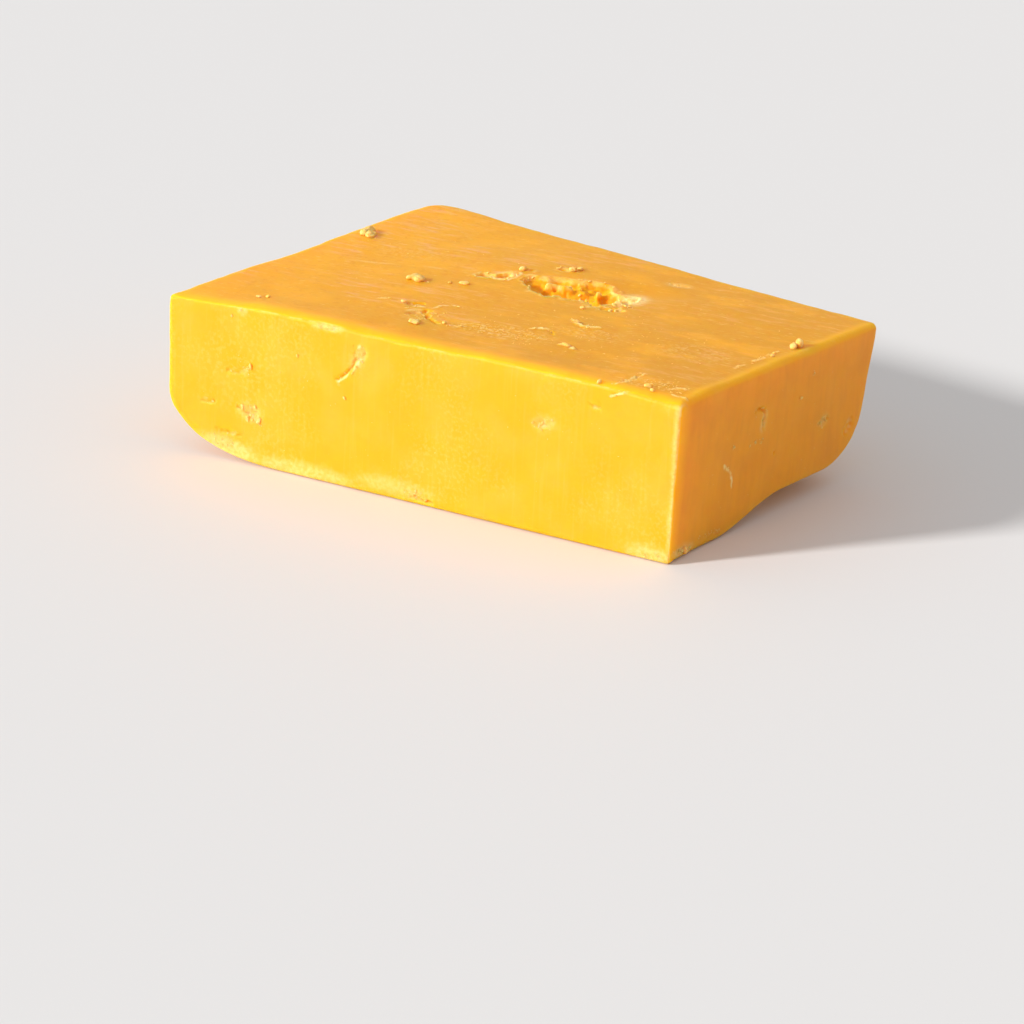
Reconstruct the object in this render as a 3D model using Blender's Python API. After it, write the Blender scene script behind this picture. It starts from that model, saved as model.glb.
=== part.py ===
"""A hand-cut block of orange cheddar, about a pound, with a crumbled hollow in its top.

The block is a corner of a larger moulded cheese. Its left, back and bottom are the old outside,
with big slumped roundings. Its front, right and top are knife cuts with small edges.
Units are metres. +X runs along the front, +Y to the back and +Z up. The origin is under the
middle of the block, on the surface that it rests on.
"""

import math

import bmesh
import bpy
import numpy as np
from mathutils import Matrix, Vector, noise

MM = 0.001

# Driving sizes of the block
FRONT_SIDE = 130.4 * MM
RIGHT_SIDE = 83.7 * MM
LEFT_SIDE = 110.0 * MM
RIGHT_FLARE = math.radians(6.3)
LEFT_TAPER = math.radians(3.2)
HEIGHT = 36.5 * MM
BACK_RIGHT_DROP = 0.8 * MM
BACK_UNDERCUT = 8.2 * MM
RIGHT_UNDERCUT = 1.2 * MM
DEPTH = (RIGHT_SIDE + LEFT_SIDE) / 2
CENTRE = np.array([0.06, -1.08]) * MM  # of the rounded block, from the middle of its plan

# Roundings of the old outside, across and up, and how square their curve is
LEFT_BOTTOM = (32 * MM, 16.2 * MM)
BACK_BOTTOM = (15 * MM, 13 * MM)
LEFT_BACK = 8 * MM
SLUMP_POWER = 2.3
SLUMP_REACH = 34 * MM

# Radii where two surfaces meet at a cut edge, by their letters: front, right, top and outside
CUT_RADII = {
    ("F", "T"): 0.6 * MM,
    ("F", "R"): 0.6 * MM,
    ("R", "T"): 1.8 * MM,
    ("F", "O"): 1.0 * MM,
    ("R", "O"): 1.4 * MM,
    ("T", "O"): 1.6 * MM,
}
CUT_REACH = 3 * MM

# The underside lifts a little along the back of the right face
LIFT = 4.6 * MM
LIFT_START, LIFT_FULL = 25 * MM, 60 * MM
LIFT_INWARD, LIFT_UPWARD = 15 * MM, 20 * MM

# The top rolls down a little to the front edge: reach, drop and how far down the front it is felt
ROLL_REACH, ROLL_DROP, ROLL_HEIGHT = 3.2 * MM, 0.5 * MM, 4 * MM

# Slow waves of the surface: depth and length
WAVES = ((0.55 * MM, 40 * MM), (0.22 * MM, 13 * MM))

# Small wear along the cut edges, most along the front
NIBBLE_FRONT, NIBBLE_OTHER, NIBBLE_LENGTH = 0.5 * MM, 0.2 * MM, 5 * MM

# The crumbled hollow in the top: each scoop is centre x, centre y, half length, half width,
# turn in degrees and depth, with the sizes in millimetres
SCOOPS = (
    (-8.2, 7.2, 3.4, 4.4, 20, 1.7),
    (-2.0, 2.8, 4.6, 5.0, 20, 4.4),
    (3.8, 5.8, 5.0, 6.4, 0, 3.2),
    (10.6, 6.0, 4.4, 6.8, 0, 4.8),
    (15.0, 8.6, 2.9, 4.6, 20, 1.8),
    (4.8, 12.8, 5.0, 3.2, 0, 1.6),
    (-15.9, 6.1, 2.7, 1.9, 75, 2.6),
    (-20.0, 3.9, 2.2, 1.3, 30, 1.8),
    (-6.6, 19.6, 1.9, 1.3, 0, 1.6),
)
SCOOP_TILT, SCOOP_DEEP_SIDE = 0.55, np.array([0.48, -0.88])
SCOOP_WALLS = (0.9 * MM, 2.2 * MM)  # reach of the slope at the deep side and across from it
SCOOP_RAGGED = ((1.5 * MM, 4 * MM), (0.7 * MM, 1.8 * MM))
CURD_LUMP, CURD_SIZE = 1.2 * MM, 3.8 * MM

# Chips and cracks on the faces: face, place along it, height, half length, half width, turn in
# degrees and depth, in millimetres
CHIPS = (
    ("front", -47.0, 12.6, 3.4, 1.8, -14, 0.4),
    ("front", -50.2, 21.4, 3.4, 1.0, 5, 0.2),
    ("front", -58.2, 13.0, 2.6, 0.9, 5, 0.2),
    ("front", -52.5, 6.5, 3.4, 0.9, 0, 0.2),
    ("front", -18.2, 31.6, 3.2, 1.1, 68, 0.3),
    ("front", -21.4, 27.2, 3.2, 0.8, 42, 0.4),
    ("front", 28.4, 25.4, 3.2, 1.4, 10, 0.2),
    ("front", 41.0, 31.8, 1.8, 0.8, -10, 0.3),
    ("right", -20.6, 26.6, 2.6, 0.8, 0, 0.6),
    ("right", -18.9, 23.8, 2.4, 1.0, 78, 0.4),
    ("right", 6.8, 17.4, 2.0, 1.1, 15, 0.5),
    ("right", 18.2, 11.6, 3.6, 1.9, 62, 0.6),
    ("top", -16.4, -32.0, 3.9, 1.7, 62, 0.4),
    ("top", -12.4, -33.6, 5.4, 0.8, -46, 0.9),
    ("top", 16.8, -1.4, 3.6, 1.5, 10, 0.4),
)

# Crumbs stuck to the top: centre x and y, half length, half width, turn and height
CRUMBS = (
    (-60.2, 17.4, 3.6, 1.4, -34, 1.5),
    (-30.2, -9.7, 2.2, 1.3, -20, 1.3),
    (-19.8, -6.0, 1.3, 0.8, 5, 0.8),
    (62.0, 0.0, 1.8, 1.0, 70, 1.2),
    (-12.6, -39.8, 1.8, 1.2, 25, 0.8),
    (-14.4, 12.6, 1.2, 0.8, 10, 0.8),
    (16.4, -16.4, 2.2, 0.7, -30, 0.5),
)

# Spacing of the first, even mesh as zones of start, end and step along X, Y and Z
ZONES_X = ((0, 3, 0.6), (3, 44, 1.8), (44, 92, 0.8), (92, 127, 1.8), (127, 130.4, 0.6))
ZONES_Y = ((0, 3, 0.6), (3, 42, 1.8), (42, 77, 0.9), (77, 94, 1.8), (94, 96.8, 0.6))
ZONES_Z = ((0, 3, 0.6), (3, 33, 1.5), (33, 36.4, 0.5))
TRIANGLES = 9600
FLAT_WITHIN = 0.03 * MM


def grid_lines(zones, length):
    """Places of the mesh's lines along one side, from its zones."""
    places = [0.0]
    for start, end, step in zones:
        count = max(1, round((end - start) / step))
        places += list(np.linspace(start, end, count + 1)[1:])
    return np.array(places) / places[-1] * length


def box_shell(xs, ys, zs):
    """Points and outward quads of a box's surface with lines at these places."""
    index = np.full((len(xs), len(ys), len(zs)), -1)
    outside = np.ones(index.shape, bool)
    outside[1:-1, 1:-1, 1:-1] = False
    index[outside] = np.arange(outside.sum())
    i, j, k = np.nonzero(outside)
    points = np.stack([xs[i], ys[j], zs[k]], axis=1)

    def quads(sheet, turned):
        corners = [sheet[:-1, :-1], sheet[1:, :-1], sheet[1:, 1:], sheet[:-1, 1:]]
        if turned:
            corners.reverse()
        return np.stack([c.ravel() for c in corners], axis=1)

    faces = [
        quads(index[:, :, 0], True),
        quads(index[:, :, -1], False),
        quads(index[:, 0, :], False),
        quads(index[:, -1, :], True),
        quads(index[0, :, :], True),
        quads(index[-1, :, :], False),
    ]
    return points, np.concatenate(faces)


def near(distance, reach):
    """1 on a surface, falling to 0 at the reach."""
    return np.clip(1 - distance / reach, 0, 1)


def mixed(first, second, first_weight, second_weight):
    total = first_weight + second_weight
    share = np.where(total > 0, first_weight / np.maximum(total, 1e-9), 0)
    return first * share + second * (1 - share)


def smooth_step(value):
    value = np.clip(value, 0, 1)
    return value * value * (3 - 2 * value)


def wavy(points, length, seed):
    """Smooth noise from -1 to 1 with waves of this length."""
    offset = Vector((seed * 7.3, seed * 3.1, seed * 5.7))
    return np.array([noise.noise(Vector(p) / length + offset) for p in points])


def slump(points):
    """Rounds the left, back and bottom of the box. Returns the points, how deep each lies
    under the old outside, and the outside's normal there."""
    left, back, bottom = points[:, 0], DEPTH - points[:, 1], points[:, 2]
    by_left, by_back = near(left, SLUMP_REACH), near(back, SLUMP_REACH)
    by_bottom = near(bottom, SLUMP_REACH)
    radii = np.stack(
        [
            mixed(LEFT_BACK, LEFT_BOTTOM[0], by_back, by_bottom),
            mixed(LEFT_BACK, BACK_BOTTOM[0], by_left, by_bottom),
            mixed(LEFT_BOTTOM[1], BACK_BOTTOM[1], by_left, by_back),
        ],
        axis=1,
    )
    distance = np.stack([left, back, bottom], axis=1)
    closeness = np.clip(1 - distance / radii, 0, 1)
    most = closeness.max(axis=1)
    size = (closeness**SLUMP_POWER).sum(axis=1) ** (1 / SLUMP_POWER)
    inside = size > 0
    pulled = closeness * np.where(inside, most / np.maximum(size, 1e-9), 1)[:, None]
    moved = np.where(closeness > 0, radii * (1 - pulled), distance)

    span = np.linalg.norm(radii * pulled, axis=1) / np.maximum(most, 1e-9)
    depth = np.where(inside, (1 - most) * span, 1.0)
    slope = pulled ** (SLUMP_POWER - 1) / radii * np.array([-1, 1, -1])
    normal = slope / np.maximum(np.linalg.norm(slope, axis=1), 1e-9)[:, None]
    rounded = np.stack([moved[:, 0], DEPTH - moved[:, 1], moved[:, 2]], axis=1)
    return rounded, depth, normal


def round_cuts(points, depth, outside_normal):
    """Gives the cut edges their radii. Returns the points, the surface normals and how much
    each point may be worn."""
    ones = np.ones(len(points))[:, None]
    distance = {
        "F": points[:, 1],
        "R": FRONT_SIDE - points[:, 0],
        "T": HEIGHT - points[:, 2],
        "O": depth,
    }
    normals = {
        "F": ones * np.array([0.0, -1, 0]),
        "R": ones * np.array([1.0, 0, 0]),
        "T": ones * np.array([0.0, 0, 1]),
        "O": outside_normal,
    }
    wide = {name: near(d, CUT_REACH) for name, d in distance.items()}
    total, radius = 0, 0
    for (first, second), size in CUT_RADII.items():
        weight = wide[first] * wide[second]
        total = total + weight
        radius = radius + weight * size
    radius = np.where(total > 1e-9, radius / np.maximum(total, 1e-9), 1 * MM)
    close = {name: near(d, radius) for name, d in distance.items()}
    size = np.sqrt(sum(c**2 for c in close.values()))
    lean = sum(close[name][:, None] * normals[name] for name in close)
    inward = radius * (1 - 1 / np.maximum(size, 1))
    moved = points - inward[:, None] * lean
    normal = lean / np.maximum(np.linalg.norm(lean, axis=1), 1e-9)[:, None]
    edge = np.sort(np.stack(list(wide.values())), axis=0)[-2]
    nibble = mixed(NIBBLE_FRONT, NIBBLE_OTHER, wide["F"], 1 - wide["F"]) * edge
    return moved, normal, nibble


def plan_corners():
    """The four corners in plan: front left, front right, back right and back left."""
    front_right = np.array([FRONT_SIDE, 0])
    back_right = front_right + RIGHT_SIDE * np.array(
        [math.sin(RIGHT_FLARE), math.cos(RIGHT_FLARE)]
    )
    back_left = LEFT_SIDE * np.array([math.sin(LEFT_TAPER), math.cos(LEFT_TAPER)])
    corners = np.array([[0, 0], front_right, back_right, back_left])
    middle = (corners.min(axis=0) + corners.max(axis=0)) / 2
    return corners - middle - CENTRE


def to_plan(points):
    """Carries the points of the plain box over to the block's real, uneven plan."""
    front_left, front_right, back_right, back_left = plan_corners()
    across = points[:, 0:1] / FRONT_SIDE
    along = points[:, 1:2] / DEPTH
    front = front_left * (1 - across) + front_right * across
    back = back_left * (1 - across) + back_right * across
    plan = front * (1 - along) + back * along
    up = points[:, 2] / HEIGHT
    plan[:, 0] -= RIGHT_UNDERCUT * (1 - up) * across[:, 0]
    plan[:, 1] -= BACK_UNDERCUT * (1 - up) * along[:, 0]
    height = points[:, 2] - BACK_RIGHT_DROP * up * (across * along)[:, 0]
    return np.column_stack([plan, height])


def oval(x, y, middle_x, middle_y, half_length, half_width, turn):
    """How far inside an oval each place is, in the oval's own half width: 0 on its rim."""
    cos, sin = math.cos(math.radians(turn)), math.sin(math.radians(turn))
    dx, dy = x - middle_x * MM, y - middle_y * MM
    along = (dx * cos + dy * sin) / (half_length * MM)
    across = (dy * cos - dx * sin) / (half_width * MM)
    return 1 - np.hypot(along, across)


def curd_lumps(points):
    """Rounded lumps of curd, from 0 in the joints to 1 on the lumps."""
    lumps = []
    for point in points:
        first, second = noise.voronoi(Vector(point) / CURD_SIZE)[0][:2]
        lumps.append(min(1, 1.6 * (second - first)))
    return np.array(lumps)


def hollow_depth(points):
    """Depth of the crumbled hollow under each place of the top."""
    flat = points * [1, 1, 0]
    ragged = sum(swing * wavy(flat, length, 4 + n) for n, (swing, length) in enumerate(SCOOP_RAGGED))
    depth = np.zeros(len(points))
    for middle_x, middle_y, length, width, turn, deep in SCOOPS:
        inside = oval(points[:, 0], points[:, 1], middle_x, middle_y, length, width, turn)
        inside = inside * min(length, width) * MM + ragged * min(1, deep / 3)
        from_middle = points[:, :2] / MM - (middle_x, middle_y)
        side = np.clip(from_middle @ SCOOP_DEEP_SIDE / max(length, width), -1, 1)
        wall = np.interp(-side, (-1, 1), SCOOP_WALLS)
        floor = deep * MM * (1 + SCOOP_TILT * side)
        depth = np.maximum(depth, floor * (1 - np.exp(-np.maximum(inside, 0) / wall)))
    deep = depth > 0.2 * MM
    lumps = np.zeros(len(points))
    lumps[deep] = curd_lumps(points[deep])
    return depth - CURD_LUMP * lumps * smooth_step(depth / (4 * MM))


def lift_of(points, right_distance, front_distance):
    """How far the underside and the right face's foot are raised."""
    along = smooth_step((front_distance - LIFT_START) / (LIFT_FULL - LIFT_START))
    inward = smooth_step(near(right_distance, LIFT_INWARD))
    upward = smooth_step(near(points[:, 2], LIFT_UPWARD))
    return LIFT * along * inward * upward


def relief(points, flat_box, normal, nibble):
    """Adds the waves, nibbled edges, chips, hollow and crumbs."""
    exposed = 1 - np.clip(-normal[:, 2], 0, 1)
    inward = np.zeros(len(points))
    for number, (deep, length) in enumerate(WAVES):
        inward += deep * wavy(points, length, number + 1)
    nibbles = np.clip(wavy(points, NIBBLE_LENGTH, 9) + 0.05, 0, 1)
    inward += nibble * nibbles
    places = {
        "front": (points[:, 0], points[:, 2], -normal[:, 1]),
        "right": (points[:, 1], points[:, 2], normal[:, 0]),
        "top": (points[:, 0], points[:, 1], normal[:, 2]),
    }
    for face, middle_a, middle_b, length, width, turn, deep in CHIPS:
        a, b, facing = places[face]
        inside = oval(a, b, middle_a, middle_b, length, width, turn)
        inward += deep * MM * smooth_step(inside * 1.6) * (facing > 0.5)
    moved = points - (inward * exposed)[:, None] * normal

    top = normal[:, 2] > 0.5
    moved[top, 2] -= hollow_depth(points[top])
    for middle_x, middle_y, length, width, turn, high in CRUMBS:
        inside = oval(points[:, 0], points[:, 1], middle_x, middle_y, length, width, turn)
        rise = high * MM * np.sqrt(1 - (1 - np.clip(inside, 0, 1)) ** 2)
        moved[:, 2] += np.where(top, rise, 0)

    moved[:, 2] += lift_of(points, FRONT_SIDE - flat_box[:, 0], flat_box[:, 1])
    resting = (normal[:, 2] < -0.999) & (moved[:, 2] < FLAT_WITHIN)
    moved[resting, 2] = 0
    moved[:, 2] = np.maximum(moved[:, 2], 0)
    return moved


def block_form():
    """Points and quads of the whole block on its even mesh."""
    points, faces = box_shell(
        grid_lines(ZONES_X, FRONT_SIDE),
        grid_lines(ZONES_Y, DEPTH),
        grid_lines(ZONES_Z, HEIGHT),
    )
    rounded, depth, outside_normal = slump(points)
    cut, normal, nibble = round_cuts(rounded, depth, outside_normal)
    placed = to_plan(cut)
    by_front, by_top = near(cut[:, 1], ROLL_REACH), near(HEIGHT - cut[:, 2], ROLL_HEIGHT)
    placed[:, 2] -= ROLL_DROP * by_front**2 * by_top
    return relief(placed, cut, normal, nibble), faces


def cheddar_material():
    material = bpy.data.materials.new("orange_cheddar")
    material.use_nodes = True
    shader = material.node_tree.nodes["Principled BSDF"]
    shader.inputs["Base Color"].default_value = (0.93, 0.45, 0.06, 1)
    shader.inputs["Roughness"].default_value = 0.5
    shader.inputs["Metallic"].default_value = 0
    return material


def thinned(mesh, triangles):
    """The mesh with few faces where it is flat and many where it is broken."""
    holder = bpy.data.objects.new("even_mesh", mesh)
    bpy.context.scene.collection.objects.link(holder)
    fewer = holder.modifiers.new("fewer", "DECIMATE")
    fewer.ratio = triangles / (2 * len(mesh.polygons))
    graph = bpy.context.evaluated_depsgraph_get()
    result = bpy.data.meshes.new_from_object(holder.evaluated_get(graph))
    bpy.data.objects.remove(holder)
    return result


def flatten_base(mesh):
    """Puts the resting face exactly on the ground and joins it into one flat face."""
    shape = bmesh.new()
    shape.from_mesh(mesh)
    for vertex in shape.verts:
        if vertex.co.z < FLAT_WITHIN:
            vertex.co.z = 0
    base = [f for f in shape.faces if all(v.co.z == 0 for v in f.verts)]
    bmesh.ops.dissolve_faces(shape, faces=base)
    bmesh.ops.triangulate(shape, faces=shape.faces)
    shape.to_mesh(mesh)
    shape.free()


def make_block():
    points, faces = block_form()
    even = bpy.data.meshes.new("even_block")
    even.from_pydata(points.tolist(), [], faces.tolist())
    even.update()
    mesh = thinned(even, TRIANGLES)
    flatten_base(mesh)
    low = np.array([v.co for v in mesh.vertices]).min(axis=0)
    high = np.array([v.co for v in mesh.vertices]).max(axis=0)
    middle = (low + high) / 2
    mesh.transform(Matrix.Translation((-middle[0], -middle[1], 0)))
    block = bpy.data.objects.new("cheddar_block", mesh)
    block.data.materials.append(cheddar_material())
    block.data.shade_smooth()
    bpy.context.scene.collection.objects.link(block)
    return block


def main():
    for obj in list(bpy.data.objects):
        bpy.data.objects.remove(obj)
    make_block()


main()
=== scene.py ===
import math

import bmesh
import bpy
import numpy as np
from mathutils import Matrix, Vector, noise


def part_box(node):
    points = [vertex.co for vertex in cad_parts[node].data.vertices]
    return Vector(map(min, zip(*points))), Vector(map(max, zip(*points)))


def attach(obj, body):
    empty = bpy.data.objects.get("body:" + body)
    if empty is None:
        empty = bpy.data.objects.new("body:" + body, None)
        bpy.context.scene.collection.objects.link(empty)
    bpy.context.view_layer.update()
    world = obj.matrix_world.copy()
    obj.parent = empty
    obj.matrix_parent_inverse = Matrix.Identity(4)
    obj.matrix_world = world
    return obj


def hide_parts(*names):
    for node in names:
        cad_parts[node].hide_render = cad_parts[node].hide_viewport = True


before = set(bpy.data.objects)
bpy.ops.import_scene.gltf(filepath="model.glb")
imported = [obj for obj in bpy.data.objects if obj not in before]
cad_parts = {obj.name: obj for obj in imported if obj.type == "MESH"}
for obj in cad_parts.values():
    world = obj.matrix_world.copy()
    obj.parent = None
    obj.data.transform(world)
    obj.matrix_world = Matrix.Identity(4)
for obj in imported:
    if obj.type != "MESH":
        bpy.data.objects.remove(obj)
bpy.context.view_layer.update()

mm = 0.001  # the form below is worked out in millimetres and made metres at the end


def linear(hexColour):  # an sRGB hex value as the linear colour a shader wants
    parts = [int(hexColour[i:i + 2], 16) / 255 for i in (1, 3, 5)]
    return tuple(c / 12.92 if c <= 0.04045 else ((c + 0.055) / 1.055) ** 2.4 for c in parts) + (1,)


def addNode(tree, kind, inputs=None, **settings):  # a node with its settings, values and links
    node = tree.nodes.new(kind)
    for key, value in settings.items():
        setattr(node, key, value)
    for key, value in (inputs or {}).items():
        if isinstance(value, bpy.types.NodeSocket):
            tree.links.new(value, node.inputs[key])
        else:
            node.inputs[key].default_value = value
    return node


# the block's form: the same rule as the solid's, with finer lines and its skin marked

block = {
    "front": 130.4, "right": 83.7, "left": 110.0,  # sides in plan
    "rightFlare": 6.3, "leftTaper": 3.2,  # degrees off square
    "centre": (0.06, -1.08),  # of the rounded block, from the middle of its plan
    "height": 36.5, "backRightDrop": 0.8,
    "backUndercut": 8.2, "rightUndercut": 1.2,  # how far the foot stands back
    "leftBottom": (32.0, 16.2), "backBottom": (15.0, 13.0), "leftBack": 8.0,  # old roundings
    "slumpPower": 2.3, "slumpReach": 34.0,  # squarer than round, and how far one rounding feels the next
    # where cuts meet, from front, right and top, and where they meet the old outside
    "cutRadii": {"FT": 0.5, "FR": 0.5, "RT": 1.8, "FO": 1.0, "RO": 1.4, "TO": 1.6},
    "cutReach": 3.0,
    # the foot of the right face rises to the back
    "lift": 4.6, "liftStart": 25.0, "liftFull": 60.0, "liftInward": 15.0, "liftUpward": 20.0,
    "waves": ((0.55, 40.0), (0.22, 13.0), (0.07, 4.5)),  # depth and length
    "roll": (3.2, 0.5, 4.0),  # of the top down to its front edge: reach, drop, how far down the front
    "bow": (  # how much the top's front edge rises along its length, place and rise
        (-65, 0), (-54, 0.5), (-47, 0.8), (-28, 0.85), (-18, 0.45), (-6, 0.3), (4, 0.4), (12, 0.7),
        (20, 0.65), (34, 0.3), (46, 0.1), (53, -0.3), (60, -0.75), (65, -0.8),
    ),
    "bowReach": (16.0, 24.0),  # over the top, and down the front
    "cornerLean": (0.6, -0.4), "cornerReach": (18.0, 22.0),  # the front right edge at its foot and head
    "nibble": {"F": 0.5, "other": 0.2}, "nibbleLength": 5.0,  # wear of the cut edges
    # lines of the mesh: from, to, how far apart
    "linesX": ((0, 3, 0.3), (3, 25, 0.33), (25, 43, 0.45), (43, 86, 0.3), (86, 129, 0.42),
               (129, 130.4, 0.14)),
    "linesY": ((0, 1.4, 0.14), (1.4, 14, 0.42), (14, 42, 0.33), (42, 50, 0.45), (50, 79, 0.3),
               (79, 94, 0.6), (94, 97, 0.4)),
    "linesZ": ((0, 3, 0.4), (3, 35, 0.4), (35, 36.4, 0.14)),
    "triangles": 190000,  # of the finished block
}
block["depth"] = (block["right"] + block["left"]) / 2

# how far in from an edge each mark of the surface reaches, and how strong it is
marking = {
    "skin": (4.0, 3.5),  # the dried skin starts behind the front and right edges
    "glow": (7.0, 0.6, 9.0),  # light through the front: reach, swing and length of its waver
    "outsideGlow": 0.7, "rightGlow": (3.6, 0.6), "cornerGlow": 5.0,
    "fringe": (1.2, 0.7, 3.0),  # pale fringe on the front beside the corner: reach, strength, length
    "corner": 0.42, "cornerCrisp": 0.5,  # how near half way round an edge counts as its crest
    "tear": (0.9, 1.6, 1.3),  # a tear comes and goes along its line: level, swing, length
    "bruise": (0.3, 1.5, 1.4), "bruisePale": 0.7,  # so does the flour in a scar
    "shallowTear": 0.6, "lipPale": 0.45,
    "scarEdge": 2.2, "strokeEdge": 1.3, "flourEdge": 1.6, "grainEdge": 1.4,  # more is sharper
    "raggedMarks": ((0.6, 2.2), (0.3, 0.8)),  # swing and length of the scars' uneven outlines
}

hollow = {
    # centre x and y, half length, half width, turn in degrees, depth
    "scoops": (
        (-8.2, 7.2, 3.4, 4.4, 20, 1.7), (-2.0, 2.8, 4.6, 5.0, 20, 4.4),
        (3.8, 5.8, 5.0, 6.4, 0, 3.2), (10.6, 6.0, 4.4, 6.8, 0, 4.8),
        (15.0, 8.6, 2.9, 4.6, 20, 1.8), (4.8, 12.8, 5.0, 3.2, 0, 1.6),
        (-15.9, 6.1, 2.7, 1.9, 75, 3.0), (-20.0, 3.9, 2.4, 1.5, 30, 2.4),
        (-6.6, 19.6, 1.9, 1.3, 0, 1.6), (-12.8, 13.6, 0.9, 0.7, 0, 1.0), (-2.4, 10.6, 5.0, 3.0, 0, 1.5),
    ),
    "tilt": 0.55, "deepSide": (0.48, -0.88),  # the floors fall towards the front
    "wall": (0.8, 2.2),  # how far in the floor is reached, at the deep side and across from it
    "ragged": ((1.5, 3.8), (1.1, 1.7), (0.4, 0.8)),  # swing and length of the torn rim
    "lip": 0.22, "lipWidth": 0.6,  # the rim is pushed up a little
    "dent": (15.0, 15.0, 13.0, 9.0, 10, 0.8),  # the top sags round the hollow's right end
}

# scars: face, place along it and up it, half length, half width, turn, depth
scars = (
    ("front", -47.0, 12.6, 3.2, 1.6, -14, 0.25), ("front", -50.2, 21.6, 3.4, 1.0, 10, 0.1),
    ("front", -58.2, 13.1, 2.4, 0.9, 5, 0.08), ("front", -52.5, 6.5, 3.4, 0.9, 0, 0.12),
    ("front", 28.4, 25.4, 3.2, 1.4, 10, 0.15), ("front", 41.0, 31.8, 1.6, 0.5, -10, 0.15),
    ("front", -18.0, 31.4, 2.9, 1.3, 68, 0.1), ("front", -26.4, 36.3, 4.2, 0.6, 0, 0.1),
    ("right", -18.9, 23.8, 2.4, 1.0, 78, 0.35), ("right", 6.8, 17.4, 1.9, 1.1, 15, 0.35),
    ("right", -13.5, 14.3, 0.9, 0.6, 60, 0.4), ("right", 18.2, 11.6, 3.6, 1.9, 62, 0.6),
    ("top", -16.4, -32.0, 3.9, 1.7, 62, 0.4), ("top", 45.0, -46.0, 4.4, 0.9, 84, 0.2),
    ("top", 16.8, -1.4, 3.6, 1.5, 10, 0.35), ("top", 19.6, 27.0, 3.0, 1.4, 10, 0.15),
)

# cracks, and raised torn lips where the depth is below nothing: face, points, half width, depth
strokes = (
    ("front", ((-19.3, 29.9), (-19.8, 28.6), (-20.8, 27.7), (-21.4, 26.8), (-22.6, 26.2),
               (-23.7, 25.2)), 0.32, 0.4),
    ("front", ((-18.4, 29.4), (-19.6, 27.6), (-21.6, 25.9), (-23.6, 24.7)), 0.35, -0.12),
    ("front", ((-19.6, 33.6), (-19.1, 32.2), (-19.5, 31.0), (-19.1, 29.8)), 0.3, 0.3),
    ("front", ((-17.0, 32.4), (-17.7, 31.2), (-18.8, 30.2)), 0.3, 0.25),
    ("front", ((-18.2, 33.6), (-17.9, 31.4), (-18.6, 29.0)), 0.4, -0.18),
    ("front", ((-49.8, 12.9), (-48.2, 12.2), (-46.6, 12.4), (-44.7, 12.3)), 0.35, 0.35),
    ("front", ((-53.3, 20.8), (-50.5, 21.2), (-47.5, 21.3)), 0.3, 0.2),
    ("front", ((-60.4, 12.6), (-58.2, 12.8), (-56.2, 13.3)), 0.3, 0.18),
    ("front", ((-55.8, 6.7), (-52.5, 6.4), (-49.2, 6.7)), 0.35, 0.22),
    ("front", ((44.0, 34.2), (45.8, 35.4), (47.8, 36.4)), 0.3, -0.2),
    ("front", ((39.4, 32.0), (42.6, 31.5)), 0.3, 0.3),
    ("front", ((-4.2, 1.7), (1.4, 1.2)), 0.5, 0.4),
    ("right", ((-23.0, 26.8), (-21.0, 27.2), (-18.8, 26.2)), 0.45, 0.7),
    ("right", ((-33.8, 17.2), (-30.6, 14.5), (-29.8, 11.3)), 0.4, -0.15),
    ("right", ((4.6, 17.0), (6.4, 17.8), (8.2, 17.4)), 0.35, 0.5),
    ("top", ((-21.4, -27.9), (-19.0, -26.1)), 0.5, 1.3),
    ("top", ((-16.2, -29.6), (-15.2, -31.8), (-12.6, -34.6), (-10.4, -36.4), (-8.6, -37.4)), 0.5, 1.5),
    ("top", ((-21.4, 2.0), (-18.6, 2.8), (-16.2, 2.6), (-13.8, 3.2), (-13.0, 6.2),
             (-13.8, 10.4)), 0.45, -0.2),
    ("top", ((-20.3, -31.2), (-19.2, -29.4), (-17.4, -28.2)), 0.4, -0.3),
    ("top", ((-29.0, -28.9), (-26.5, -26.9)), 0.3, -0.2),
    ("top", ((-5.9, -37.4), (-2.5, -35.7)), 0.3, -0.25),
    ("top", ((-15.4, -28.2), (-15.0, -24.9), (-13.2, -22.4), (-10.7, -22.5)), 0.35, -0.15),
    ("top", ((9.2, -26.5), (11.0, -25.4), (12.9, -24.6)), 0.5, -0.3),
    ("top", ((13.2, -25.0), (14.6, -26.2), (15.2, -27.6)), 0.4, 0.4),
    ("top", ((13.6, -15.0), (15.8, -16.4), (17.9, -17.8), (21.4, -17.0)), 0.4, -0.4),
    ("top", ((15.4, -17.4), (18.4, -18.9)), 0.4, 0.3),
    ("top", ((20.6, -33.6), (24.8, -34.6)), 0.6, -0.35),
    ("top", ((58.6, -25.0), (59.6, -19.0), (60.4, -13.6), (61.4, -7.6)), 0.3, -0.2),
    ("top", ((43.8, -52.4), (44.8, -49.6), (44.6, -46.0), (45.6, -42.0)), 0.35, -0.25),
    ("top", ((54.6, -47.8), (56.2, -46.2), (58.4, -46.1)), 0.35, -0.2),
    ("top", ((56.6, -50.3), (59.7, -49.9)), 0.35, -0.2),
)


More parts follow.
